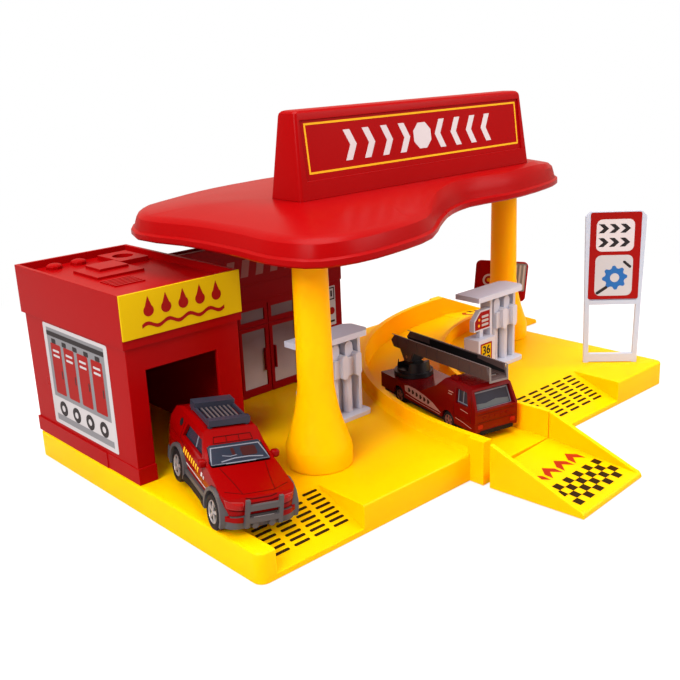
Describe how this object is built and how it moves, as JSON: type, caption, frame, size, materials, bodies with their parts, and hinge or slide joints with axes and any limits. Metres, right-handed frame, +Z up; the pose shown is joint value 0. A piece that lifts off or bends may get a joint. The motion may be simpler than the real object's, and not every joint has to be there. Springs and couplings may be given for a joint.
{
  "type": "toy fire station",
  "caption": "Toy fire station: a deck with a curved road and loose ramps, a canopy on flared columns, a wash bay, a shop front, pump islands, signs, an off-roader and a ladder truck.",
  "frame": {"origin": "middle of the whole part's box, on the table under it", "axes": "+Z up; +X along the deck's front edge, from the wash bay to the side ramp; +Y from the front edge to the back"},
  "size_m": [0.3363, 0.2394, 0.1577],
  "materials": {
    "yellow_plastic": "glossy",
    "red_plastic": "glossy",
    "dark_red_plastic": "glossy",
    "pale_plastic": "glossy",
    "white_plastic": "glossy",
    "red_enamel": "gloss enamel",
    "dark_red_enamel": "gloss enamel",
    "grey_plastic": "satin",
    "smoked_plastic": "glossy",
    "black_plastic": "satin",
    "brown_grey_plastic": "satin",
    "steel": "drawn wire"
  },
  "bodies": {
    "station": {"base_deck": "yellow_plastic", "left_column": "yellow_plastic", "right_column": "yellow_plastic", "canopy_roof": "red_plastic", "roof_sign_board": "red_plastic", "wash_bay_walls": "red_plastic", "wash_bay_roof": "red_plastic", "wash_bay_sign_plate": "yellow_plastic", "shop_front": "dark_red_plastic", "left_pump_island": "pale_plastic", "right_pump_island": "pale_plastic", "workshop_sign_frame": "white_plastic", "small_sign": "red_plastic"},
    "front_ramp": {"front_ramp": "yellow_plastic"},
    "side_ramp": {"side_ramp": "yellow_plastic"},
    "suv": {"suv_body": "red_enamel", "suv_windows": "smoked_plastic", "suv_chassis": "grey_plastic", "suv_roof_rack": "grey_plastic"},
    "suv_front_wheels": {"suv_front_axle": "steel", "suv_front_wheel_left": "black_plastic", "suv_front_wheel_right": "black_plastic"},
    "suv_rear_wheels": {"suv_rear_axle": "steel", "suv_rear_wheel_left": "black_plastic", "suv_rear_wheel_right": "black_plastic"},
    "truck": {"truck_body": "dark_red_enamel", "truck_windows": "smoked_plastic", "truck_chassis": "black_plastic"},
    "truck_front_wheels": {"truck_front_axle": "steel", "truck_front_wheel_left": "black_plastic", "truck_front_wheel_right": "black_plastic"},
    "truck_rear_wheels": {"truck_rear_axle": "steel", "truck_rear_wheel_left": "black_plastic", "truck_rear_wheel_right": "black_plastic"},
    "turntable": {"truck_turntable": "black_plastic"},
    "ladder": {"truck_ladder": "brown_grey_plastic", "truck_ladder_pin": "steel"}
  },
  "joints": [
    {"name": "front_ramp_pull", "type": "slide", "parent": "station", "child": "front_ramp", "axis": [0.061, -0.9981, 0], "range_m": [0, 0.02]},
    {"name": "side_ramp_pull", "type": "slide", "parent": "station", "child": "side_ramp", "axis": [1, 0, 0], "range_m": [0, 0.02]},
    {"name": "suv_roll", "type": "slide", "parent": "station", "child": "suv", "axis": [-0.2639, -0.9646, 0], "range_m": [0, 0.006]},
    {"name": "suv_front_spin", "type": "hinge", "parent": "suv", "child": "suv_front_wheels", "pos_m": [-0.15001, -0.0413, 0.01864], "axis": [0.9615, -0.2568, -0.0976], "continuous": true},
    {"name": "suv_rear_spin", "type": "hinge", "parent": "suv", "child": "suv_rear_wheels", "pos_m": [-0.1391, -0.00144, 0.02118], "axis": [0.9615, -0.2568, -0.0976], "continuous": true},
    {"name": "truck_roll", "type": "slide", "parent": "station", "child": "truck", "axis": [-0.225, -0.9744, 0], "range_m": [-0.004, 0.024]},
    {"name": "truck_front_spin", "type": "hinge", "parent": "truck", "child": "truck_front_wheels", "pos_m": [-0.01358, -0.03401, 0.0119], "axis": [0.9744, -0.225, 0], "continuous": true},
    {"name": "truck_rear_spin", "type": "hinge", "parent": "truck", "child": "truck_rear_wheels", "pos_m": [-0.00417, 0.00672, 0.0119], "axis": [0.9744, -0.225, 0], "continuous": true},
    {"name": "turntable_swivel", "type": "hinge", "parent": "truck", "child": "turntable", "pos_m": [-0.00323, 0.01081, 0.0075], "axis": [0, 0, 1], "range_deg": [-50, 50]},
    {"name": "ladder_lift", "type": "hinge", "parent": "turntable", "child": "ladder", "pos_m": [-0.00323, 0.01081, 0.02986], "axis": [-0.9744, 0.225, 0], "range_deg": [0, 45]}
  ],
  "couplings": [
    {"joint": "suv_front_spin", "follows": "suv_roll", "rad_per_m": 142.86},
    {"joint": "suv_rear_spin", "follows": "suv_roll", "rad_per_m": 142.86},
    {"joint": "truck_front_spin", "follows": "truck_roll", "rad_per_m": 227.27},
    {"joint": "truck_rear_spin", "follows": "truck_roll", "rad_per_m": 227.27}
  ]
}
